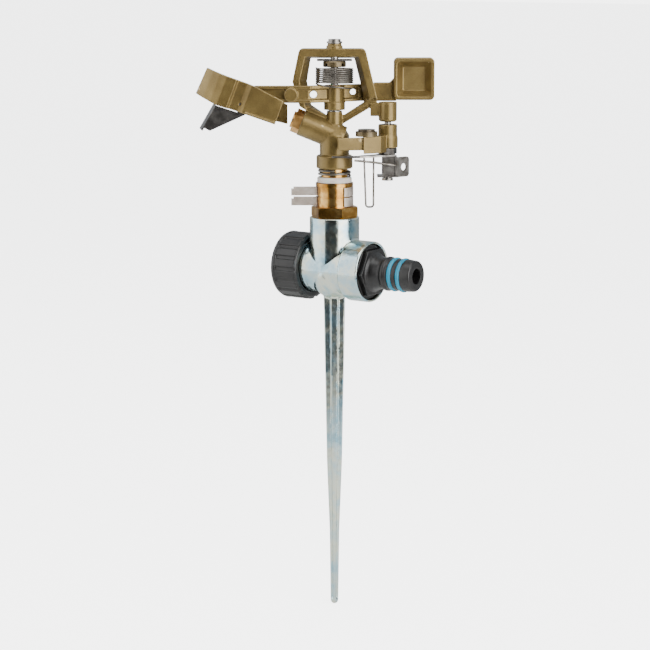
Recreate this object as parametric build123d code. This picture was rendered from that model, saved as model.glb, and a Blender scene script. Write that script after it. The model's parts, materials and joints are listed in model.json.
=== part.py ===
from build123d import *
import os
from math import atan2, cos, degrees, hypot, radians, sin

# An impact sprinkler on a metal ground spike. The origin is the tip of the spike, +Z is up along
# the spike and +X runs along the hose spigot. All lengths are in millimetres.

os.makedirs("parts", exist_ok=True)

# ground spike and the T body cast on its upper end
SPIKE_WIDTHS = [(2.0, 4.1), (41.0, 5.1), (79.0, 8.0), (169.0, 11.3)]
RIB_SHARE = 0.34
TEE_RADIUS = 12.95
TEE_TOP = 210.0
TEE_BORE = 9.4
HOSE_HEIGHT = 182.8
BARREL_RADIUS = 15.8
BARREL_START = 11.0
BARREL_FACE = 23.8
BARREL_THREAD = 13.3
THREAD_START = 12.6
MOUTH_DEPTH = 3.6
SPIGOT_RADIUS = 13.1
SPIGOT_END = -25.0
SPIGOT_SHOULDER = -11.4
CAP_START = -29.8
CAP_LENGTH = 16.5
CAP_RIBS = 18
CAP_RIB_WIDTH = 3.9
WATERWAY = 8.2

# quick-coupling hose connector
WASHER_THICKNESS = 2.2
NOSE_START = 25.3
O_RINGS = (38.3, 43.5)
O_RING_MIDDLE = 7.6
O_RING_WIRE = 1.25

# bearing nipple and the tube that turns in it
HEX_FLATS = 21.5
HEX_TURN = 22.0
NIPPLE_BOTTOM = 197.2
HEX_TOP = 215.5
SLEEVE_RADIUS = 8.95
FLANGE_RADIUS = 9.75
NIPPLE_TOP = 227.8
TUBE_RADIUS = 6.8
TUBE_BORE = 5.2
TUBE_FOOT = 7.8
TUBE_BOTTOM = 192.0
TUBE_FIT = 0.05

# arc limit collars, strips of spring steel sprung round the sleeve
STRIP_WIDTH = 4.6
STRIP_THICKNESS = 0.8
COLLAR_FIT = 0.06
LOWER_COLLAR = 215.9
UPPER_COLLAR = 221.1
TAB_REACH = 22.5
TAB_HEADING = 214.0
COLLAR_OPENING = 128.0

# turning head, drawn with its nozzle towards -X and then turned on the spike
HEAD_ANGLE = 34.0
COLLAR_RADIUS = 9.4
COLLAR_BOTTOM = 235.2
COLLAR_TOP = 242.1
NECK_RADIUS = 7.65
JET_RISE = 22.0
JET_CROSSING = 251.9
JET_BARREL = 6.75
JET_BORE = 4.2
NOZZLE_FLATS = 11.0
NOZZLE_START = 18.6
FRAME_DEPTH = 8.6
PIN_RADIUS = 2.0
PIN_BOTTOM = 258.0

# impact arm
SPOON_RISE = 21.0
ARM_BOTTOM = 269.5
ARM_TOP = 277.7
HUB_RADIUS = 5.45

# reversing mechanism, carried on the trip pin to the right of the neck
TRIP_X = 27.5
TRIP_PIN = 1.7
TRIP_FIT = 0.06


def rod(radius, low, high, x=0.0, y=0.0):
    solid = Cylinder(radius, high - low, align=(Align.CENTER, Align.CENTER, Align.MIN))
    return Pos(x, y, low) * solid


def tube(outer, inner, low, high, x=0.0, y=0.0):
    return rod(outer, low, high, x, y) - rod(inner, low - 1, high + 1, x, y)


def hose_rod(radius, start, end):
    solid = Cylinder(radius, end - start, align=(Align.CENTER, Align.CENTER, Align.MIN))
    return Pos(start, 0, HOSE_HEIGHT) * Rot(0, 90, 0) * solid


def cross_rod(radius, x, z, front, back):
    solid = Cylinder(radius, back - front, align=(Align.CENTER, Align.CENTER, Align.MAX))
    return Pos(x, front, z) * Rot(90, 0, 0) * solid


def block(x0, x1, y0, y1, z0, z1):
    return Pos(x0, y0, z0) * Box(x1 - x0, y1 - y0, z1 - z0, align=(Align.MIN, Align.MIN, Align.MIN))


def upright_plate(points, y0, y1):
    outline = Polyline([(x, y0, z) for x, z in points], close=True)
    return extrude(make_face(outline), amount=y1 - y0, dir=(0, 1, 0))


def flat_plate(points, z0, z1):
    outline = Polyline([(x, y, z0) for x, y in points], close=True)
    return extrude(make_face(outline), amount=z1 - z0, dir=(0, 0, 1))


def turned(points):
    outline = Polyline([(r, 0, z) for r, z in points], close=True)
    return revolve(make_face(outline), Axis.Z, 360)


def hexagon(flats, low, high, turn=0.0):
    face = Plane.XY.offset(low) * Rot(0, 0, turn) * RegularPolygon(flats / 2, 6, major_radius=False)
    return extrude(face, amount=high - low)


def wire(points, radius, bend):
    path = FilletPolyline(points, radius=bend)
    section = Plane(origin=path @ 0, z_dir=path % 0) * Circle(radius)
    return sweep(section, path=path)


def coil(radius, wire_radius, pitch, turns, low):
    path = Helix(pitch, pitch * turns, radius, center=(0, 0, low))
    section = Plane(origin=path @ 0, z_dir=path % 0) * Circle(wire_radius)
    return sweep(section, path=path, is_frenet=True)


def on_head(solid):
    return Rot(0, 0, HEAD_ANGLE) * solid


def save(solid, name):
    solids = solid.solids()
    shape = solids[0] if len(solids) == 1 else Compound(children=solids)
    export_step(shape, "parts/" + name + ".step")
    print(name, len(solids), round(shape.volume, 1))


# ---- base ----

def cross_section(width, height):
    half = width / 2
    rib = width * RIB_SHARE / 2
    arms = Rectangle(2 * half, 2 * rib) + Rectangle(2 * rib, 2 * half)
    return Plane.XY.offset(height) * Rot(0, 0, HEAD_ANGLE) * arms


def spike():
    sections = [cross_section(width, height).faces()[0] for height, width in SPIKE_WIDTHS]
    blade = loft(sections, ruled=True)
    tip_radius = SPIKE_WIDTHS[0][1] / 2
    return blade + Pos(0, 0, tip_radius) * Sphere(tip_radius)


def spike_body():
    outside = spike()
    outside += rod(TEE_RADIUS, 180.0, TEE_TOP) + Pos(0, 0, 180.0) * Sphere(TEE_RADIUS)
    outside += hose_rod(TEE_RADIUS, SPIGOT_SHOULDER, BARREL_START + 1)
    barrel = turned([(0, 0), (BARREL_RADIUS - 1.4, 0), (BARREL_RADIUS, 1.4),
                     (BARREL_RADIUS, BARREL_FACE - BARREL_START), (0, BARREL_FACE - BARREL_START)])
    outside += Pos(BARREL_START, 0, HOSE_HEIGHT) * Rot(0, 90, 0) * barrel
    outside += hose_rod(SPIGOT_RADIUS, SPIGOT_END, SPIGOT_SHOULDER)
    waterways = hose_rod(WATERWAY, SPIGOT_END - 1, BARREL_FACE + 1)
    waterways += hose_rod(BARREL_THREAD, THREAD_START, BARREL_FACE + 1)
    waterways += hose_rod(14.5, BARREL_FACE - MOUTH_DEPTH, BARREL_FACE + 1)
    waterways += rod(TEE_BORE, HOSE_HEIGHT, TEE_TOP + 1)
    waterways += rod(10.5, NIPPLE_BOTTOM - 0.2, TEE_TOP + 1)
    return outside - waterways


def hose_connector():
    flange = BARREL_FACE - MOUTH_DEPTH
    body = hose_rod(13.1, THREAD_START + WASHER_THICKNESS, flange)
    body += hose_rod(14.2, flange, flange + 2.0)
    grip = Plane.YZ.offset(flange + 2.0) * Pos(0, HOSE_HEIGHT) * RegularPolygon(11.6, 6, major_radius=False)
    body += extrude(grip, amount=3.4)
    profile = [(0, 0), (10.6, 0), (9.2, 1.6), (8.6, 3.4), (8.2, 5.6), (8.2, 7.2), (8.9, 8.2), (8.9, 9.6),
               (8.3, 10.2), (8.3, 21.2), (8.0, 24.6), (7.4, 25.2), (0, 25.2)]
    body += Pos(NOSE_START, 0, HOSE_HEIGHT) * Rot(0, 90, 0) * turned(profile)
    for middle in O_RINGS:
        start = middle - O_RING_WIRE
        end = middle + O_RING_WIRE
        body -= hose_rod(10.0, start, end) - hose_rod(O_RING_MIDDLE - O_RING_WIRE, start, end)
    return body - hose_rod(4.05, 28.0, 52.0) - hose_rod(7.0, 10.0, 29.0)


def connector_o_rings():
    rings = []
    for middle in O_RINGS:
        ring = Pos(middle, 0, HOSE_HEIGHT) * Rot(0, 90, 0) * Torus(O_RING_MIDDLE, O_RING_WIRE)
        rings.append(ring.solids()[0])
    return Compound(children=rings)


def connector_washer():
    return hose_rod(12.4, THREAD_START, THREAD_START + WASHER_THICKNESS) - hose_rod(8.2, 8.0, 20.0)


def end_cap():
    profile = [(0, 0), (15.4, 0), (17.0, 0.9), (17.7, 2.4), (17.7, 3.2), (16.9, 3.8),
               (16.9, CAP_LENGTH - 0.8), (16.1, CAP_LENGTH), (0, CAP_LENGTH)]
    cap = Pos(CAP_START, 0, HOSE_HEIGHT) * Rot(0, 90, 0) * turned(profile)
    half = CAP_RIB_WIDTH / 2
    for index in range(CAP_RIBS):
        turn = Pos(0, 0, HOSE_HEIGHT) * Rot(index * 360 / CAP_RIBS, 0, 0)
        cap += turn * block(CAP_START + 3.0, CAP_START + CAP_LENGTH - 0.6, -half, half, 16.0, 17.55)
    return cap - hose_rod(SPIGOT_RADIUS + 0.3, CAP_START + 2.2, 0)


def end_cap_washer():
    return hose_rod(12.6, CAP_START + 2.2, CAP_START + 4.4) - hose_rod(7.0, -31.0, -20.0)


def bearing_nipple():
    body = turned([
        (0, NIPPLE_BOTTOM), (9.9, NIPPLE_BOTTOM), (10.4, NIPPLE_BOTTOM + 0.6), (10.4, TEE_TOP),
        (10.4, HEX_TOP), (SLEEVE_RADIUS, HEX_TOP), (SLEEVE_RADIUS, 220.5), (8.5, 220.6), (8.5, 221.0),
        (SLEEVE_RADIUS, 221.1), (SLEEVE_RADIUS, 226.0), (FLANGE_RADIUS, 226.2),
        (FLANGE_RADIUS, NIPPLE_TOP), (0, NIPPLE_TOP)])
    crown = turned([(0, TEE_TOP), (11.6, TEE_TOP), (12.5, TEE_TOP + 0.7), (12.5, HEX_TOP - 0.7),
                    (11.6, HEX_TOP), (0, HEX_TOP)])
    nut = hexagon(HEX_FLATS, TEE_TOP, HEX_TOP, HEX_TURN) & crown
    bore = rod(TUBE_RADIUS + TUBE_FIT, NIPPLE_BOTTOM - 1, NIPPLE_TOP + 1)
    return body + nut - bore


def limit_collar(low):
    inner = SLEEVE_RADIUS + COLLAR_FIT
    outer = inner + STRIP_THICKNESS
    opening = [(0, 0), (30, 3), (30, 30), (-30 * sin(radians(COLLAR_OPENING - 90)), 30)]
    ring = tube(outer, inner, low, low + STRIP_WIDTH) - flat_plate(opening, low - 1, low + STRIP_WIDTH + 1)
    tab = block(inner + 0.1, TAB_REACH, 0.1, 0.1 + STRIP_THICKNESS, low, low + STRIP_WIDTH)
    tip = block(TAB_REACH - 1.2, TAB_REACH + 1, -1, 2, low + STRIP_WIDTH - 1.0, low + STRIP_WIDTH + 1)
    return Rot(0, 0, TAB_HEADING) * (ring + tab - tip)


# ---- turning head ----

def swivel_tube():
    body = rod(TUBE_RADIUS, TUBE_BOTTOM, 244.0) + rod(TUBE_FOOT, TUBE_BOTTOM, TUBE_BOTTOM + 2.0)
    body += rod(6.9, COLLAR_BOTTOM - 0.1, 244.0)
    return body - rod(TUBE_BORE, TUBE_BOTTOM - 1, 245.0)


def swivel_seal_ring():
    return tube(8.8, TUBE_RADIUS, 194.0, 195.6)


def swivel_washer():
    return tube(8.9, TUBE_RADIUS, 195.6, 196.9)


def bearing_washer():
    ring = turned([(TUBE_RADIUS, 228.1), (9.0, 228.1), (9.0, 230.3), (8.5, 230.8), (TUBE_RADIUS, 230.8)])
    return ring


def bearing_spring():
    return coil(8.0, 0.65, 1.7, 1.75, 231.5)


def jet_rod(radius, start, end, sides=0):
    if sides:
        face = RegularPolygon(radius, sides, major_radius=False)
        solid = extrude(face, amount=end - start)
    else:
        solid = Cylinder(radius, end - start, align=(Align.CENTER, Align.CENTER, Align.MIN))
    return Pos(0, 0, JET_CROSSING) * Rot(0, JET_RISE - 90, 0) * Pos(0, 0, start) * solid


def bridge_frame():
    half = FRAME_DEPTH / 2
    outside = upright_plate([(-18.1, 296.8), (15.8, 296.8), (22.1, 270.8), (21.8, 268.6), (3.8, 257.9),
                             (0, 256.5), (-9.0, 258.5), (-14.0, 262.0), (-15.0, 265.6), (-18.0, 267.5),
                             (-21.6, 280.0)], -half, half)
    corners = [edge for edge in outside.edges().filter_by(Axis.Y) if edge.center().Z > 294.0]
    outside = fillet(corners, 2.6)
    front = [(-15.0, 292.8), (12.5, 292.8), (18.2, 271.9), (17.6, 270.7), (5.4, 263.3), (-4.6, 263.3),
             (-14.8, 266.6), (-18.0, 280.0)]
    back = [(-12.2, 291.8), (10.2, 291.8), (14.9, 272.8), (15.2, 269.2), (5.0, 262.6), (-4.2, 262.6),
            (-12.0, 267.8), (-14.2, 280.0)]
    near = make_face(Polyline([(x, -half - 0.01, z) for x, z in front], close=True))
    middle = make_face(Polyline([(x, half - 2.4, z) for x, z in back], close=True))
    far = make_face(Polyline([(x, half + 0.01, z) for x, z in back], close=True))
    window = loft([near, middle], ruled=True) + loft([middle, far], ruled=True)
    lower_front = upright_plate([(-14.9, 250.0), (-14.9, 267.6), (-2.0, 264.2), (2.5, 264.2), (20.4, 272.0),
                                 (26.0, 268.0), (26.0, 250.0)], -half - 1, -1.2)
    strut_groove = upright_plate([(4.0, 260.2), (18.0, 268.4), (18.6, 267.4), (4.0, 258.9)], -2.0, -0.6)
    return outside - window - lower_front - strut_groove


def sprinkler_body():
    body = turned([(0, COLLAR_BOTTOM), (8.8, COLLAR_BOTTOM), (COLLAR_RADIUS, COLLAR_BOTTOM + 0.6),
                   (COLLAR_RADIUS, COLLAR_TOP - 0.6), (8.8, COLLAR_TOP), (NECK_RADIUS, COLLAR_TOP + 0.2),
                   (NECK_RADIUS, 252.5), (4.5, 257.6), (4.0, 258.4), (4.0, 264.6), (0, 264.6)])
    body += jet_rod(JET_BARREL, -4.5, NOZZLE_START)
    body += bridge_frame()
    body += rod(4.7, 260.2, 269.4, TRIP_X) + Pos(TRIP_X, 0, 259.4) * Cone(
        3.9, 4.7, 0.8, align=(Align.CENTER, Align.CENTER, Align.MIN))
    body += block(18.5, 25.0, -1.6, 1.6, 262.2, 268.9)
    body += rod(4.2, 296.0, 298.2) + rod(3.6, 298.0, 299.5)
    body -= rod(6.9, COLLAR_BOTTOM - 1, 244.0)
    body -= rod(TUBE_BORE, 243.0, JET_CROSSING)
    body -= jet_rod(JET_BORE, -1.0, NOZZLE_START + 1)
    body -= jet_rod(4.6, NOZZLE_START - 7.5, NOZZLE_START + 1)
    body -= rod(PIN_RADIUS, PIN_BOTTOM, 301.0)
    body -= rod(TRIP_PIN, 255.0, 267.0, TRIP_X)
    return body


def front_nozzle():
    nozzle = jet_rod(4.6, NOZZLE_START - 6.5, NOZZLE_START)
    nozzle += jet_rod(NOZZLE_FLATS / 2, NOZZLE_START, NOZZLE_START + 3.9, 6)
    nozzle += jet_rod(4.3, NOZZLE_START + 3.9, NOZZLE_START + 5.0)
    nozzle -= jet_rod(1.7, NOZZLE_START - 8, NOZZLE_START + 6)
    return nozzle - jet_rod(3.0, NOZZLE_START - 8, NOZZLE_START)


def fulcrum_pin():
    return rod(PIN_RADIUS, PIN_BOTTOM, 300.2)


def fulcrum_cap():
    return tube(4.0, PIN_RADIUS, 299.5, 300.4) + rod(3.2, 300.2, 301.6)


def spring_clip():
    plate = block(-9.0, 9.0, -3.6, 3.6, 290.5, 291.4)
    for side in (-1, 1):
        plate -= Pos(side * 9.6, 0, 280) * Cylinder(2.0, 30)
    return plate - rod(PIN_RADIUS, 280.0, 300.0)


def spring_adjuster():
    ring = turned([(PIN_RADIUS, 287.4), (5.6, 287.4), (5.95, 287.8), (5.95, 290.0), (5.5, 290.5),
                   (PIN_RADIUS, 290.5)])
    for index in range(4):
        ring -= Rot(0, 0, 45 + index * 90) * block(4.4, 7.0, -0.7, 0.7, 286.0, 289.2)
    return ring


def trip_pin():
    return rod(TRIP_PIN, 230.0, 267.0, TRIP_X) + rod(2.9, 228.9, 230.2, TRIP_X)


def trip_nut():
    return hexed_spacer(8.6, 242.9, 245.6)


def hexed_spacer(flats, low, high):
    return Pos(TRIP_X, 0, 0) * hexagon(flats, low, high, 10) - rod(TRIP_PIN, low - 1, high + 1, TRIP_X)


# ---- impact arm ----

def arm_beam(low, high, half):
    left = block(-41.0, -12.0, -7.1 - half, -7.1 + half, low, high)
    right = block(12.0, 32.0, 7.1 - half, 7.1 + half, low, high)
    lean = degrees(atan2(7.1, 13.0))
    length = hypot(13.0, 7.1)
    across = Rot(0, 0, lean) * block(-length, length, -half, half, low, high)
    return left + across + right


def counterweight():
    cup = block(30.7, 51.6, 1.8, 11.0, 270.2, 291.8)
    cup = fillet(cup.edges().filter_by(Axis.Y), 2.2)
    mouth = Plane(origin=(41.15, 1.8, 281.0), x_dir=(1, 0, 0), z_dir=(0, 1, 0))
    pocket = loft([(mouth * RectangleRounded(17.7, 18.4, 1.6)).face(),
                   (mouth.offset(4.6) * RectangleRounded(11.6, 12.2, 1.0)).face()], ruled=True)
    return chamfer(cup.edges().group_by(Axis.Y)[-1], 0.6) - pocket


def spoon_wall(points):
    slope = radians(SPOON_RISE)
    along_spoon = (-cos(slope), 0, sin(slope))
    plane = Plane(origin=(-24.0, 0, 264.0), x_dir=along_spoon, z_dir=(sin(slope), 0, cos(slope)))
    outline = make_face(Polyline([(along, towards, 0) for along, towards in points], close=True))
    return extrude(plane.offset(-14) * outline, amount=42)


def spoon():
    near_outline = [(-71.4, 274.0), (-65.4, 287.1), (-40.2, 278.1), (-24.0, 269.5), (-28.0, 258.0),
                    (-31.6, 259.2), (-45.5, 264.0), (-60.5, 268.7)]
    near_side = upright_plate(near_outline, -20, 10)
    far_side = upright_plate([(-62.0, 270.0), (-59.0, 280.2), (-40.2, 273.6), (-24.4, 267.6), (-24.4, 257.4),
                              (-31.6, 259.2), (-45.5, 264.0)], -20, 12)
    near = spoon_wall([(4.2, 10.6), (21.4, 10.6), (24.2, 8.8), (31.0, 8.6), (35.0, 9.0), (38.6, 7.6),
                       (42.2, 4.8), (45.4, 1.0), (48.6, -3.6), (49.6, -1.0), (46.6, 4.0), (43.2, 7.6),
                       (39.4, 10.4), (35.4, 12.0), (30.2, 12.6), (29.4, 10.6), (24.6, 10.6), (22.0, 12.6),
                       (4.2, 12.6)])
    ledge = spoon_wall([(4.2, 12.0), (22.0, 12.0), (22.0, 13.3), (4.2, 13.3)])
    ledge &= upright_plate([(-24.0, 256.8), (-28.0, 258.0), (-31.6, 259.2), (-45.5, 264.0), (-45.5, 265.1),
                            (-31.6, 260.3), (-24.0, 257.9)], -20, 10)
    far = spoon_wall([(-2.0, -8.2), (36.0, -8.2), (36.0, -6.6), (-2.0, -6.6)])
    bridge = block(-42.0, -37.4, -10.8, 8.2, 273.8, 278.0)
    return (near & near_side) + ledge + ((far + bridge) & far_side)


def impact_arm():
    arm = arm_beam(ARM_BOTTOM, ARM_TOP + 0.5, 2.3)
    for side in (-1, 1):
        arm -= arm_beam(ARM_BOTTOM + 1.5, ARM_TOP - 1.2, 0.9).moved(Location((0, side * 2.0, 0)))
    arm += rod(HUB_RADIUS, 265.5, ARM_BOTTOM) + rod(4.9, ARM_BOTTOM, ARM_TOP + 0.5)
    arm += cross_rod(3.4, -22.2, 273.7, -12.2, -5.2)
    arm += block(20.5, 31.5, 4.8, 9.4, 270.6, 279.0)
    arm += upright_plate([(27.5, 278.0), (31.0, 281.5), (31.0, 278.0)], 4.8, 9.4)
    arm += counterweight()
    arm += spoon()
    arm -= rod(3.0, 264.0, 280.0)
    arm -= Pos(-10.8, 0, 273.7) * Rot(90, 0, 0) * Cylinder(1.8, 40)
    arm -= Pos(9.5, 0, 274.3) * Rot(90, 0, 0) * Cylinder(1.5, 40)
    arm -= Pos(-47.8, -9.4, 268.9) * Rot(90, 0, 0) * Cylinder(0.9, 3)
    return arm


def arm_bushing():
    return tube(3.0, PIN_RADIUS + 0.05, 265.2, 278.4)


def arm_washer():
    return tube(3.9, PIN_RADIUS + 0.05, 264.6, 264.9)


def arm_spring():
    return coil(9.45, 0.42, 0.98, 8.0, 279.0)


def deflector_plate():
    near = upright_plate([(-60.7, 268.2), (-49.8, 264.7), (-49.6, 270.8), (-46.0, 270.8), (-45.8, 263.4),
                          (-63.9, 255.2), (-66.9, 256.8)], -8.5, -7.8)
    top = Vector(-60.6, -8.3, 268.1)
    foot = Vector(-68.0, -8.3, 255.4)
    aside = Vector(-1.6, 9.6, 0.4)
    face = make_face(Polyline([top, foot, foot + aside, top + aside], close=True))
    far = extrude(face, amount=0.35, both=True)
    hole = Pos(-47.8, -8.0, 268.9) * Rot(90, 0, 0) * Cylinder(0.9, 4)
    return near + far - hole


def deflector_rivet():
    shank = cross_rod(0.85, -47.8, 268.9, -10.2, -7.8)
    head = cross_rod(1.6, -47.8, 268.9, -7.8, -7.0)
    return shank + head


# ---- reversing mechanism ----

def trip_lever():
    lever = turned([(TRIP_PIN + TRIP_FIT, 246.0), (5.3, 246.0), (5.3, 251.0), (4.9, 252.6), (4.9, 257.6),
                    (4.5, 258.0), (TRIP_PIN + TRIP_FIT, 258.0)])
    lever = Pos(TRIP_X, 0, 0) * lever
    beam = flat_plate([(27.0, -4.6), (24.0, -9.6), (14.9, -14.6), (14.9, -12.6), (1.6, -14.6), (1.6, -11.9),
                       (14.0, -9.8), (21.0, -3.0)], 243.9, 252.5)
    thin = block(-1.0, 14.9, -20.0, -5.0, 240.0, 245.6) + block(-1.0, 14.9, -20.0, -5.0, 252.0, 255.0)
    return lever + (beam - thin - rod(5.0, 240, 260, TRIP_X))


def trip_button():
    return rod(5.6, 252.5, 255.0, 16.4, -8.6) + rod(4.4, 255.0, 256.1, 16.4, -8.6)


def trip_plate():
    plate = flat_plate([(31.5, -3.4), (31.5, 3.4), (24.0, 3.4), (20.0, -2.4), (14.0, -6.4), (12.0, -9.8),
                        (-1.5, -11.0), (-1.5, -13.0), (13.0, -13.4), (24.5, -8.0)], 241.7, 242.6)
    return plate - rod(TRIP_PIN + TRIP_FIT, 240.0, 244.0, TRIP_X)


def trip_bracket():
    left = block(24.6, 25.5, -4.6, 4.4, 230.9, 241.7)
    right = block(31.3, 32.3, -4.6, 4.4, 230.9, 241.7)
    web = block(24.6, 32.3, -3.6, -2.7, 230.9, 241.7)
    top = block(24.6, 32.3, -3.6, 4.4, 240.8, 241.7)
    floor = block(22.1, 32.3, -4.6, 4.4, 230.9, 231.8)
    tab = block(0, 8.8, 0, 1.1, 230.9, 241.3)
    tab = fillet(tab.edges().filter_by(Axis.Y).sort_by(Axis.X)[-2:], 1.6)
    tab -= Pos(5.2, 0, 236.0) * Rot(90, 0, 0) * Cylinder(1.9, 6)
    tab = Pos(32.0, -4.6, 0) * Rot(0, 0, 40) * tab
    return left + right + web + top + floor + tab - rod(TRIP_PIN + TRIP_FIT, 225.0, 245.0, TRIP_X)


def trip_wire():
    points = [(15.2, -8.4, 241.7), (16.2, -8.4, 216.0), (20.1, -8.4, 216.0), (20.1, -8.4, 241.7)]
    return wire(points, 0.5, 1.4)


def toggle_spring():
    return wire([(10.3, -14.4, 240.6), (20.6, -10.4, 239.2), (31.2, -6.2, 237.2)], 0.6, 1.0)


MODELS = {
    "spike_body": spike_body,
    "hose_connector": hose_connector,
    "connector_o_rings": connector_o_rings,
    "connector_washer": connector_washer,
    "end_cap": end_cap,
    "end_cap_washer": end_cap_washer,
    "bearing_nipple": bearing_nipple,
    "lower_limit_collar": lambda: limit_collar(LOWER_COLLAR),
    "upper_limit_collar": lambda: limit_collar(UPPER_COLLAR),
}

HEAD_MODELS = {
    "swivel_tube": swivel_tube,
    "swivel_seal_ring": swivel_seal_ring,
    "swivel_washer": swivel_washer,
    "bearing_washer": bearing_washer,
    "bearing_spring": bearing_spring,
    "sprinkler_body": sprinkler_body,
    "front_nozzle": front_nozzle,
    "fulcrum_pin": fulcrum_pin,
    "fulcrum_cap": fulcrum_cap,
    "spring_clip": spring_clip,
    "spring_adjuster": spring_adjuster,
    "arm_spring": arm_spring,
    "impact_arm": impact_arm,
    "arm_bushing": arm_bushing,
    "arm_washer": arm_washer,
    "deflector_plate": deflector_plate,
    "deflector_rivet": deflector_rivet,
    "trip_pin": trip_pin,
    "trip_nut": trip_nut,
    "trip_lever": trip_lever,
    "trip_button": trip_button,
    "trip_plate": trip_plate,
    "trip_bracket": trip_bracket,
    "trip_wire": trip_wire,
    "toggle_spring": toggle_spring,
}

for name, model in MODELS.items():
    save(model(), name)

for name, model in HEAD_MODELS.items():
    save(on_head(model()), name)
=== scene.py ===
import json
import math

import bpy
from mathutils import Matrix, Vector


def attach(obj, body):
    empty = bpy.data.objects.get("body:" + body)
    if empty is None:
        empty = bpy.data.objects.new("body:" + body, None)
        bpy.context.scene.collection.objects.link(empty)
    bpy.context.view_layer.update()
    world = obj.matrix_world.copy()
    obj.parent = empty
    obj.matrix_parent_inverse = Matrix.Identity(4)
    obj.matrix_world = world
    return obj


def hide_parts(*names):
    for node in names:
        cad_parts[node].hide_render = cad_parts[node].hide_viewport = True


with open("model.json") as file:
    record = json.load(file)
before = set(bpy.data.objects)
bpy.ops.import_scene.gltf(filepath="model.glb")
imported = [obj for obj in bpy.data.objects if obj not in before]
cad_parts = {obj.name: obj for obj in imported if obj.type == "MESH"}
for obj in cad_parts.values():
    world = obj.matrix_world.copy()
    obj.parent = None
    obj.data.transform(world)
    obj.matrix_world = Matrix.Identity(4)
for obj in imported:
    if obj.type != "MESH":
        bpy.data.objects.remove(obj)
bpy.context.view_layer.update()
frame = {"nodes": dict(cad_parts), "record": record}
record = frame["record"]
nodes = frame["nodes"]
mm = 0.001
headTurn = math.radians(34)  # the head is turned this far about the spike at rest
print("frame loaded, nodes:", len(nodes))


def slotOf(nodeName):
    return next(part["material_slot"] for part in record["subparts"] if part["node"] == nodeName)


def bodyOf(nodeName):
    groups = record["behaviour"]["bodies"]
    return next(body for body, members in groups.items() if nodeName in members)


def colour(hexText):
    channels = [int(hexText[i:i + 2], 16) / 255 for i in (1, 3, 5)]
    # the sRGB curve, undone
    linear = [c / 12.92 if c <= 0.04045 else ((c + 0.055) / 1.055) ** 2.4 for c in channels]
    return (*linear, 1.0)


def addNode(tree, kind, settings=None, links=None, stops=None):
    made = tree.nodes.new(kind)
    for key, value in (settings or {}).items():
        if key in made.inputs:
            made.inputs[key].default_value = value
        else:
            setattr(made, key, value)
    for key, source in (links or {}).items():
        tree.links.new(source, made.inputs[key])  # key is a socket's name or its place
    if stops:
        ramp = made.color_ramp
        while len(ramp.elements) < len(stops):
            ramp.elements.new(0.5)
        for element, (place, tone) in zip(ramp.elements, stops):
            element.position = place
            element.color = colour(tone)
    return made


def newMaterial(name, shaderSettings):
    material = bpy.data.materials.new(name)
    material.use_nodes = True
    tree = material.node_tree
    tree.nodes.clear()
    shader = addNode(tree, "ShaderNodeBsdfPrincipled", shaderSettings)
    addNode(tree, "ShaderNodeOutputMaterial", links={"Surface": shader.outputs["BSDF"]})
    place = addNode(tree, "ShaderNodeTexCoord")
    return material, tree, shader, place.outputs["Object"]


def connect(tree, shader, socket, source):
    tree.links.new(source, shader.inputs[socket])


# Die-cast zinc sprayed with a bronze lacquer: a satin metal glow, fine flakes in the paint and
# along the cast edges a lighter colour, partly thinner paint and partly a painted highlight.
bronzeLacquer = {
    # edge: the colour of the cast edges, partly thinner paint and partly a painted highlight
    "dark": "#5C4B27", "mid": "#796538", "light": "#957F4D", "edge": "#D9C296",
    "metallic": 0.62, "roughMin": 0.28, "roughMax": 0.46, "coat": 0.12, "coatRough": 0.25,
    "flakeMm": 0.35, "cloudMm": 9.0, "bumpMm": 0.018,
}
# The screw of the flip stop is left in the darker bronze that the paint takes over steel, with a dimmer
# edge colour that is partly painted highlight.
darkBronze = dict(bronzeLacquer, dark="#2A2318", mid="#423829", light="#5A4E3A", edge="#8A7852")


def makeBronzeLacquer(name, look):
    shine = {"Metallic": look["metallic"], "Coat Weight": look["coat"],
             "Coat Roughness": look["coatRough"]}
    material, tree, shader, place = newMaterial(name, shine)
    clouds = addNode(tree, "ShaderNodeTexNoise", {"Scale": 1 / (look["cloudMm"] * mm), "Detail": 4.0},
                     {"Vector": place})
    flakes = addNode(tree, "ShaderNodeTexNoise", {"Scale": 1 / (look["flakeMm"] * mm), "Detail": 2.0},
                     {"Vector": place})
    blend = addNode(tree, "ShaderNodeMix", {"data_type": "FLOAT", "Factor": 0.42},
                    {"A": clouds.outputs["Fac"], "B": flakes.outputs["Fac"]})
    tone = addNode(tree, "ShaderNodeValToRGB", links={"Fac": blend.outputs["Result"]},
                   stops=[(0.22, look["dark"]), (0.50, look["mid"]), (0.78, look["light"])])
    # painted highlight: convex cast edges found by pointiness are blended towards the edge colour,
    # standing partly for thinner paint and partly for light caught on the edges
    edges = addNode(tree, "ShaderNodeNewGeometry")
    edgeMask = addNode(tree, "ShaderNodeMapRange", {"From Min": 0.52, "From Max": 0.64, "To Max": 0.75},
                       {"Value": edges.outputs["Pointiness"]})
    edgeWearAndHighlight = addNode(tree, "ShaderNodeMix", {"data_type": "RGBA"},
                   {"Factor": edgeMask.outputs["Result"]})
    edgeWearAndHighlight.inputs[7].default_value = colour(look["edge"])
    tree.links.new(tone.outputs["Color"], edgeWearAndHighlight.inputs[6])
    connect(tree, shader, "Base Color", edgeWearAndHighlight.outputs[2])
    rough = addNode(tree, "ShaderNodeMapRange",
                    {"From Min": 0.3, "From Max": 0.7,
                     "To Min": look["roughMin"], "To Max": look["roughMax"]},
                    {"Value": flakes.outputs["Fac"]})
    connect(tree, shader, "Roughness", rough.outputs["Result"])
    bump = addNode(tree, "ShaderNodeBump", {"Strength": 0.35, "Distance": look["bumpMm"] * mm},
                   {"Height": blend.outputs["Result"]})
    connect(tree, shader, "Normal", bump.outputs["Normal"])
    return material


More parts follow.
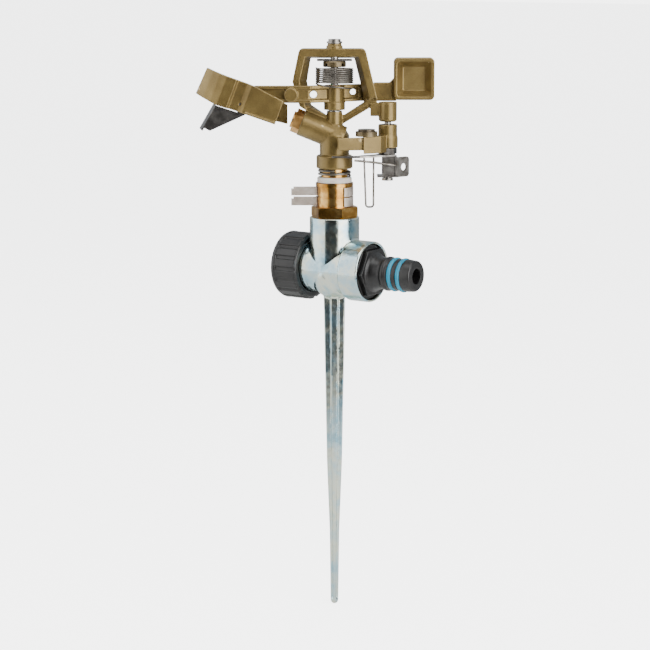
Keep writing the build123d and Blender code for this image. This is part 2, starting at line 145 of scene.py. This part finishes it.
# Cast iron with bright zinc plating and a blue passivate: mirror-like in places, clouded in others,
# with faint blue and straw interference colours.
brightZinc = {
    "tones": [(0.30, "#82AEC0"), (0.44, "#B4CCD2"), (0.56, "#D6D9C8"), (0.70, "#8AB4C4")],
    "roughMin": 0.10, "roughMax": 0.26, "cloudMm": 14.0, "skinMm": 2.4, "bumpMm": 0.02,
}


def makeBrightZinc(name, look):
    material, tree, shader, place = newMaterial(name, {"Metallic": 1.0})
    clouds = addNode(tree, "ShaderNodeTexNoise", {"Scale": 1 / (look["cloudMm"] * mm), "Detail": 5.0,
                                                  "Roughness": 0.6}, {"Vector": place})
    skin = addNode(tree, "ShaderNodeTexNoise", {"Scale": 1 / (look["skinMm"] * mm), "Detail": 3.0},
                   {"Vector": place})
    tone = addNode(tree, "ShaderNodeValToRGB", links={"Fac": clouds.outputs["Fac"]}, stops=look["tones"])
    connect(tree, shader, "Base Color", tone.outputs["Color"])
    rough = addNode(tree, "ShaderNodeMapRange",
                    {"From Min": 0.3, "From Max": 0.7,
                     "To Min": look["roughMin"], "To Max": look["roughMax"]},
                    {"Value": skin.outputs["Fac"]})
    connect(tree, shader, "Roughness", rough.outputs["Result"])
    bump = addNode(tree, "ShaderNodeBump", {"Strength": 0.5, "Distance": look["bumpMm"] * mm},
                   {"Height": skin.outputs["Fac"]})
    connect(tree, shader, "Normal", bump.outputs["Normal"])
    return material


# Brass turned on a lathe: bright yellow metal with fine rings from the tool. They are drawn 1.6 to
# 1.9 mm apart, coarser than real ones, so that they show.
wavePeriod = 0.314  # metres between the crests of a wave texture whose scale is 1
turnedBrass = {"dark": "#9A6C30", "mid": "#B98944", "light": "#E2BA74", "rough": 0.22, "ringMm": 1.57,
               "ringAxis": "Z", "bumpMm": 0.006, "cloudMm": 6.25}
copperyBrass = {"dark": "#B98A4C", "mid": "#D9AC6C", "light": "#F0D09C", "rough": 0.36, "ringMm": 1.884,
                "ringAxis": "Z", "bumpMm": 0.006, "cloudMm": 6.25}


def makeTurnedBrass(name, look):
    material, tree, shader, place = newMaterial(name, {"Metallic": 1.0})
    rings = addNode(tree, "ShaderNodeTexWave",
                    {"Scale": wavePeriod / (look["ringMm"] * mm), "bands_direction": look["ringAxis"],
                     "Distortion": 0.6, "Detail": 2.0}, {"Vector": place})
    clouds = addNode(tree, "ShaderNodeTexNoise", {"Scale": 1 / (look["cloudMm"] * mm), "Detail": 5.0},
                     {"Vector": place})
    tone = addNode(tree, "ShaderNodeValToRGB", links={"Fac": clouds.outputs["Fac"]},
                   stops=[(0.32, look["dark"]), (0.5, look["mid"]), (0.68, look["light"])])
    connect(tree, shader, "Base Color", tone.outputs["Color"])
    rough = addNode(tree, "ShaderNodeMapRange",
                    {"To Min": look["rough"] - 0.05, "To Max": look["rough"] + 0.1},
                    {"Value": clouds.outputs["Fac"]})
    connect(tree, shader, "Roughness", rough.outputs["Result"])
    bump = addNode(tree, "ShaderNodeBump", {"Strength": 0.4, "Distance": look["bumpMm"] * mm},
                   {"Height": rings.outputs["Fac"]})
    connect(tree, shader, "Normal", bump.outputs["Normal"])
    return material


# Spring steel and pressed sheet: cold-rolled or drawn, a grey metal with a fine even grain and dull
# patches about 4.5 mm across.
drawnSteel = {"dark": "#77726B", "mid": "#96918A", "light": "#B8B3AB", "rough": 0.30, "grainMm": 0.35,
              "bumpMm": 0.004, "patchesPerM": 220.0}
pressedSheet = {"dark": "#6F6A64", "mid": "#8B8680", "light": "#AAA59F", "rough": 0.30, "grainMm": 0.5,
                "bumpMm": 0.008, "patchesPerM": 220.0}
springStrip = {"dark": "#B9AC9F", "mid": "#CBBFB3", "light": "#DED4CA", "rough": 0.46, "grainMm": 0.4,
               "bumpMm": 0.006, "patchesPerM": 220.0}
darkSheet = {"dark": "#4E4B48", "mid": "#6A6764", "light": "#84817C", "rough": 0.34, "grainMm": 0.5,
             "bumpMm": 0.008, "patchesPerM": 220.0}
blackOxide = {"dark": "#2A2826", "mid": "#45423F", "light": "#66615B", "rough": 0.32, "grainMm": 0.6,
              "bumpMm": 0.01, "patchesPerM": 220.0}


def makeSteel(name, look):
    material, tree, shader, place = newMaterial(name, {"Metallic": 1.0})
    grain = addNode(tree, "ShaderNodeTexNoise", {"Scale": 1 / (look["grainMm"] * mm), "Detail": 3.0},
                    {"Vector": place})
    patches = addNode(tree, "ShaderNodeTexNoise", {"Scale": look["patchesPerM"], "Detail": 4.0},
                      {"Vector": place})
    tone = addNode(tree, "ShaderNodeValToRGB", links={"Fac": patches.outputs["Fac"]},
                   stops=[(0.32, look["dark"]), (0.5, look["mid"]), (0.68, look["light"])])
    connect(tree, shader, "Base Color", tone.outputs["Color"])
    rough = addNode(tree, "ShaderNodeMapRange",
                    {"To Min": look["rough"] - 0.06, "To Max": look["rough"] + 0.12},
                    {"Value": grain.outputs["Fac"]})
    connect(tree, shader, "Roughness", rough.outputs["Result"])
    bump = addNode(tree, "ShaderNodeBump", {"Strength": 0.3, "Distance": look["bumpMm"] * mm},
                   {"Height": grain.outputs["Fac"]})
    connect(tree, shader, "Normal", bump.outputs["Normal"])
    return material


# Moulded plastics and rubber: polypropylene from a lightly sparked mould, acetal washers and
# nitrile or silicone rings. Nearly even colour, with slow clouds in it and a fine grain in the gloss.
polypropylene = {"dark": "#0C0C0C", "mid": "#131212", "light": "#1D1C1B", "rough": 0.34, "grainMm": 0.45,
                 "bumpMm": 0.02, "ior": 1.49, "soft": 0.0, "flowPerM": 90.0}
whiteAcetal = {"dark": "#B9AFA6", "mid": "#CFC7BF", "light": "#E2DCD5", "rough": 0.38, "grainMm": 0.8,
               "bumpMm": 0.008, "ior": 1.48, "soft": 0.25, "flowPerM": 90.0}
blueRubber = {"dark": "#045D78", "mid": "#077896", "light": "#1493B4", "rough": 0.34, "grainMm": 0.5,
              "bumpMm": 0.008, "ior": 1.45, "soft": 0.0, "flowPerM": 90.0}
blackRubber = {"dark": "#171717", "mid": "#232323", "light": "#2E2E2E", "rough": 0.55, "grainMm": 0.5,
               "bumpMm": 0.015, "ior": 1.5, "soft": 0.0, "flowPerM": 90.0}


def makeMoulding(name, look):
    body = {"IOR": look["ior"], "Subsurface Weight": look["soft"], "Subsurface Scale": mm}
    material, tree, shader, place = newMaterial(name, body)
    grain = addNode(tree, "ShaderNodeTexNoise", {"Scale": 1 / (look["grainMm"] * mm), "Detail": 3.0},
                    {"Vector": place})
    flow = addNode(tree, "ShaderNodeTexNoise", {"Scale": look["flowPerM"], "Detail": 4.0},
                   {"Vector": place})
    tone = addNode(tree, "ShaderNodeValToRGB", links={"Fac": flow.outputs["Fac"]},
                   stops=[(0.3, look["dark"]), (0.5, look["mid"]), (0.72, look["light"])])
    connect(tree, shader, "Base Color", tone.outputs["Color"])
    rough = addNode(tree, "ShaderNodeMapRange",
                    {"To Min": look["rough"] - 0.08, "To Max": look["rough"] + 0.12},
                    {"Value": grain.outputs["Fac"]})
    connect(tree, shader, "Roughness", rough.outputs["Result"])
    bump = addNode(tree, "ShaderNodeBump", {"Strength": 0.4, "Distance": look["bumpMm"] * mm},
                   {"Height": grain.outputs["Fac"]})
    connect(tree, shader, "Normal", bump.outputs["Normal"])
    return material


finishes = {
    "spike_zinc": makeBrightZinc("brightZinc", brightZinc),
    "casting_paint": makeBronzeLacquer("bronzeLacquer", bronzeLacquer),
    "arm_paint": makeBronzeLacquer("armLacquer", bronzeLacquer),
    "lever_paint": makeBronzeLacquer("leverLacquer", bronzeLacquer),
    "nipple_brass": makeTurnedBrass("nippleBrass", turnedBrass),
    "tube_brass": makeTurnedBrass("tubeBrass", turnedBrass),
    "nozzle_brass": makeTurnedBrass("nozzleBrass", copperyBrass),
    "connector_plastic": makeMoulding("connectorPolypropylene", polypropylene),
    "cap_plastic": makeMoulding("capPolypropylene", polypropylene),
    "o_ring_rubber": makeMoulding("blueRing", blueRubber),
    "flat_washer_rubber": makeMoulding("blackWasherRubber", blackRubber),
    "seal_plastic": makeMoulding("sealAcetal", whiteAcetal),
    "bearing_plastic": makeMoulding("washerAcetal", whiteAcetal),
    "bushing_plastic": makeMoulding("bushingAcetal", whiteAcetal),
    "deflector_steel": makeSteel("deflectorSheet", darkSheet),
    "nut_dark": makeSteel("oxideNut", blackOxide),
    "button_dark": makeBronzeLacquer("stopScrewBronze", darkBronze),
    "adjuster_dark": makeBronzeLacquer("adjusterBronze", darkBronze),
    "spring_steel_strip": makeSteel("limitStrip", springStrip),
    "sheet_steel": makeSteel("pressedSheet", pressedSheet),
    "clip_steel": makeSteel("clipSheet", pressedSheet),
}
wireSteel = dict(drawnSteel, dark="#55504A", mid="#726D66", light="#928D85", rough=0.38)
finishes["spring_wire"] = makeSteel("drawnWire", wireSteel)
for slotName in ("pin_steel", "cap_steel", "washer_steel", "rivet_steel"):
    finishes[slotName] = makeSteel("drawn_" + slotName, drawnSteel)
print("finishes made:", len(finishes))


def dress(obj, slotName):
    obj.data.materials.clear()
    obj.data.materials.append(finishes[slotName])


for nodeName, obj in nodes.items():
    for slot in obj.material_slots:
        slot.material = finishes[slotOf(nodeName)]
print("packed nodes dressed")


# The castings and mouldings get the soft edges of the mould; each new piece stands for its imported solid.
castings = {
    "spike_body": {"piece": "spikeCasting", "voxelMm": 0.45, "passes": 3, "keep": 0.5},
    "sprinkler_body": {"piece": "sprinklerCasting", "voxelMm": 0.28, "passes": 2, "keep": 0.4},
    "impact_arm": {"piece": "armCasting", "voxelMm": 0.30, "passes": 2, "keep": 0.4},
    "trip_lever": {"piece": "leverCasting", "voxelMm": 0.26, "passes": 2, "keep": 0.4},
    "hose_connector": {"piece": "connectorMoulding", "voxelMm": 0.28, "passes": 2, "keep": 0.4},
    "end_cap": {"piece": "capMoulding", "voxelMm": 0.30, "passes": 2, "keep": 0.4},
}


def standFor(piece, nodeName):
    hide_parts(nodeName)
    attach(piece, bodyOf(nodeName))
    dress(piece, slotOf(nodeName))


def makeCasting(nodeName, settings):
    piece = bpy.data.objects.new(settings["piece"], nodes[nodeName].data.copy())
    bpy.context.scene.collection.objects.link(piece)
    skin = piece.modifiers.new("skin", "REMESH")
    skin.mode = "VOXEL"
    skin.voxel_size = settings["voxelMm"] * mm
    ease = piece.modifiers.new("ease", "SMOOTH")
    ease.factor = 0.5
    ease.iterations = settings["passes"]
    thin = piece.modifiers.new("thin", "DECIMATE")
    thin.ratio = settings["keep"]
    graph = bpy.context.evaluated_depsgraph_get()
    mesh = bpy.data.meshes.new_from_object(piece.evaluated_get(graph))
    piece.modifiers.clear()
    piece.data = mesh
    mesh.shade_smooth()
    standFor(piece, nodeName)
    print(settings["piece"], len(mesh.polygons))


for nodeName, settings in castings.items():
    makeCasting(nodeName, settings)


# The arm's return spring: close turns, with the lowest one drawn down in front of the arm to its catch.
returnSpring = {"radiusMm": 9.42, "wireMm": 0.40, "pitchMm": 0.98, "turns": 8.0, "lowMm": 279.0,
                "tailTurns": 0.43, "tailDropMm": 2.4, "stepsPerTurn": 72, "sides": 10}


def makeReturnSpring(look):
    rings = []
    stepCount = round((look["turns"] + look["tailTurns"]) * look["stepsPerTurn"])
    for step in range(stepCount + 1):
        turn = step / look["stepsPerTurn"] - look["tailTurns"]
        angle = headTurn - math.pi - 2 * math.pi * turn
        drop = look["pitchMm"] * turn
        if turn < 0:
            drop = look["tailDropMm"] * turn / look["tailTurns"]
        ring = []
        for side in range(look["sides"]):
            around = 2 * math.pi * side / look["sides"]
            reach = (look["radiusMm"] + look["wireMm"] * math.cos(around)) * mm
            height = (look["lowMm"] + drop + look["wireMm"] * math.sin(around)) * mm
            ring.append((reach * math.cos(angle), reach * math.sin(angle), height))
        rings.append(ring)
    points = [point for ring in rings for point in ring]
    sides = look["sides"]
    faces = [tuple(range(sides)), tuple(range(len(points) - 1, len(points) - sides - 1, -1))]
    for row in range(stepCount):
        for side in range(sides):
            following = (side + 1) % sides
            faces.append((row * sides + side, (row + 1) * sides + side, (row + 1) * sides + following,
                          row * sides + following))
    mesh = bpy.data.meshes.new("returnSpringMesh")
    mesh.from_pydata(points, [], faces)
    mesh.validate()
    mesh.shade_smooth()
    spring = bpy.data.objects.new("returnSpring", mesh)
    bpy.context.scene.collection.objects.link(spring)
    standFor(spring, "arm_spring")
    print("returnSpring", len(faces))


makeReturnSpring(returnSpring)


# Camera, floor and lamps, in metres, with the focal length in millimetres.
studio = {"cameraAway": 1.05, "cameraHeight": 0.345, "aimHeight": 0.1525, "focal": 112.4,
          "shiftX": -0.0146, "floorHalf": 12.0, "paperFront": 0.42, "paperBlend": 0.15,
          "table": "#E8E8E6", "floor": "#3C3D3F", "paper": "#C9CFD3", "room": "#0B0C0D",
          "glow": 0.8, "white": 5.0, "air": 1.0, "lampAim": 0.2,
          # name: right, towards the camera, up, width, height in metres, watts
          "lights": {"leftSoftbox": (-0.82, 0.12, 0.45, 1.4, 1.1, 10.0),
                     "rightSoftbox": (0.52, 0.60, 0.42, 0.76, 1.1, 16.0),
                     "topSoftbox": (-0.1, 0.10, 1.15, 0.9, 0.7, 7.0)}}


def fromCamera(right, towards, up):
    side = Vector((math.cos(headTurn), math.sin(headTurn), 0))
    front = Vector((math.sin(headTurn), -math.cos(headTurn), 0))
    return side * right + front * towards + Vector((0, 0, up))


def makeFloor():
    mesh = bpy.data.meshes.new("floorMesh")
    half = studio["floorHalf"]
    corners = [(-half, -half, 0), (half, -half, 0), (half, half, 0), (-half, half, 0)]
    mesh.from_pydata(corners, [], [(0, 1, 2, 3)])
    floor = bpy.data.objects.new("floor", mesh)
    bpy.context.scene.collection.objects.link(floor)
    # white paper whose glow only the camera sees; its front edge lies between the object and the camera,
    # and the dark studio floor starts there
    material, tree, shader, place = newMaterial("floorPaper", {"Roughness": 0.85,
                                                               "Emission Color": (1, 1, 1, 1)})
    towards = addNode(tree, "ShaderNodeVectorMath", {"operation": "DOT_PRODUCT"}, {0: place})
    towards.inputs[1].default_value = tuple(fromCamera(0, 1, 0))
    front, blend = studio["paperFront"], studio["paperBlend"]
    sheet = addNode(tree, "ShaderNodeMapRange",
                    {"From Min": front * (1 - blend), "From Max": front * (1 + blend)},
                    {"Value": towards.outputs["Value"]})
    tone = addNode(tree, "ShaderNodeValToRGB", links={"Fac": sheet.outputs["Result"]},
                   stops=[(0.0, studio["table"]), (1.0, studio["floor"])])
    connect(tree, shader, "Base Color", tone.outputs["Color"])
    path = addNode(tree, "ShaderNodeLightPath")
    glow = addNode(tree, "ShaderNodeMath", {"operation": "MULTIPLY"}, {0: path.outputs["Is Camera Ray"]})
    glow.inputs[1].default_value = studio["white"] * studio["glow"]
    connect(tree, shader, "Emission Strength", glow.outputs[0])
    mesh.materials.append(material)


def addLight(name, place, aim, width, height, power):
    light = bpy.data.lights.new(name, "AREA")
    light.shape = "RECTANGLE"
    light.size = width
    light.size_y = height
    light.energy = power
    holder = bpy.data.objects.new(name, light)
    holder.location = place
    holder.rotation_euler = (Vector(aim) - Vector(place)).to_track_quat("-Z", "Y").to_euler()
    bpy.context.scene.collection.objects.link(holder)
    holder.visible_camera = False  # the lamps stay out of sight from every side


def makeLights():
    aim = (0, 0, studio["lampAim"])
    for name, (right, towards, up, width, height, power) in studio["lights"].items():
        addLight(name, fromCamera(right, towards, up), aim, width, height, power)
    world = bpy.data.worlds.new("studioAir")
    bpy.context.scene.world = world
    world.use_nodes = True
    tree = world.node_tree
    tree.nodes.clear()
    seen = addNode(tree, "ShaderNodeBackground", {"Color": (1, 1, 1, 1), "Strength": studio["white"]})
    # the metal mirrors pale paper behind the object and a dark room in front; the camera sees only white
    direction = addNode(tree, "ShaderNodeTexCoord")
    front = fromCamera(0, 1, 0)
    facing = addNode(tree, "ShaderNodeVectorMath", {"operation": "DOT_PRODUCT"})
    tree.links.new(direction.outputs["Generated"], facing.inputs[0])
    facing.inputs[1].default_value = tuple(front)
    shade = addNode(tree, "ShaderNodeValToRGB", links={"Fac": facing.outputs["Value"]},
                    stops=[(0.0, studio["paper"]), (0.25, studio["room"]), (1.0, studio["room"])])
    soft = addNode(tree, "ShaderNodeBackground", {"Strength": studio["air"]},
                   {"Color": shade.outputs["Color"]})
    path = addNode(tree, "ShaderNodeLightPath")
    mix = addNode(tree, "ShaderNodeMixShader", links={0: path.outputs["Is Camera Ray"], 1: soft.outputs[0],
                                                      2: seen.outputs[0]})
    addNode(tree, "ShaderNodeOutputWorld", links={"Surface": mix.outputs[0]})


def makeCamera():
    data = bpy.data.cameras.new("camera")
    data.lens = studio["focal"]
    data.shift_x = studio["shiftX"]
    camera = bpy.data.objects.new("camera", data)
    camera.location = fromCamera(0, studio["cameraAway"], studio["cameraHeight"])
    aim = Vector((0, 0, studio["aimHeight"]))
    camera.rotation_euler = (aim - camera.location).to_track_quat("-Z", "Y").to_euler()
    bpy.context.scene.collection.objects.link(camera)
    bpy.context.scene.camera = camera


makeFloor()
makeLights()
makeCamera()
print("studio ready")

bpy.context.view_layer.update()
